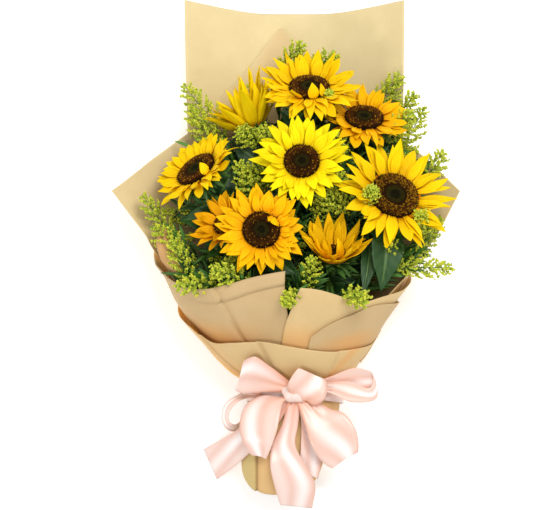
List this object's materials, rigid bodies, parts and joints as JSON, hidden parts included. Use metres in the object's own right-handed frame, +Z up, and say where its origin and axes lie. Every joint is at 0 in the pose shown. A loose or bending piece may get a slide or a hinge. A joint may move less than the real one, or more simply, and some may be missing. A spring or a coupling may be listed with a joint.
{
  "type": "bunch of sunflowers",
  "caption": "Hand-tied bunch of sunflowers and goldenrod, wrapped in kraft paper and tied with a satin ribbon bow, lying on its back",
  "frame": {"origin": "on the table, under the middle of the bunch's bounding box", "axes": "+X is the right of the bunch seen from the front, +Y runs from the cut stem ends to the top edge of the paper, +Z is up from the table"},
  "size_m": [0.3882, 0.5792, 0.1655],
  "materials": {
    "kraft": "matt kraft paper",
    "satin": "pale pink satin",
    "twine": "rough jute",
    "disc": "matt plant tissue, dark brown florets",
    "petal_lemon": "soft petal, lemon yellow",
    "petal_yellow": "soft petal, golden yellow",
    "petal_amber": "soft petal, orange yellow",
    "leaf": "green plant tissue",
    "goldenrod": "yellow-green florets on thin stalks"
  },
  "bodies": {
    "root": {"paper_back_sheet": "kraft", "paper_inner_sheet": "kraft", "paper_front_left": "kraft", "paper_front_right": "kraft", "paper_front_lower": "kraft", "paper_collar": "kraft", "ribbon_band": "satin", "ribbon_bow": "satin", "binding_twine": "twine", "sunflower_a_disc": "disc", "sunflower_b_disc": "disc", "sunflower_c_disc": "disc", "sunflower_d_disc": "disc", "sunflower_e_disc": "disc", "sunflower_f_disc": "disc", "sunflower_g_disc": "disc", "sunflower_h_disc": "disc", "sunflower_i_disc": "disc", "sunflower_a_petals": "petal_lemon", "sunflower_b_petals": "petal_yellow", "sunflower_c_petals": "petal_amber", "sunflower_d_petals": "petal_lemon", "sunflower_e_petals": "petal_yellow", "sunflower_f_petals": "petal_yellow", "sunflower_g_petals": "petal_amber", "sunflower_h_petals": "petal_amber", "sunflower_i_petals": "petal_amber", "sunflower_a_stem": "leaf", "sunflower_b_stem": "leaf", "sunflower_c_stem": "leaf", "sunflower_d_stem": "leaf", "sunflower_e_stem": "leaf", "sunflower_f_stem": "leaf", "sunflower_g_stem": "leaf", "sunflower_h_stem": "leaf", "sunflower_i_stem": "leaf", "goldenrod_back": "goldenrod", "goldenrod_back_left": "goldenrod", "goldenrod_left": "goldenrod", "goldenrod_back_right": "goldenrod", "goldenrod_right": "goldenrod", "goldenrod_middle_right": "goldenrod", "goldenrod_middle_left": "goldenrod", "goldenrod_centre": "goldenrod", "goldenrod_front_left": "goldenrod", "goldenrod_front_low": "goldenrod", "goldenrod_front": "goldenrod", "goldenrod_front_middle": "goldenrod", "goldenrod_front_right": "goldenrod"}
  },
  "joints": []
}
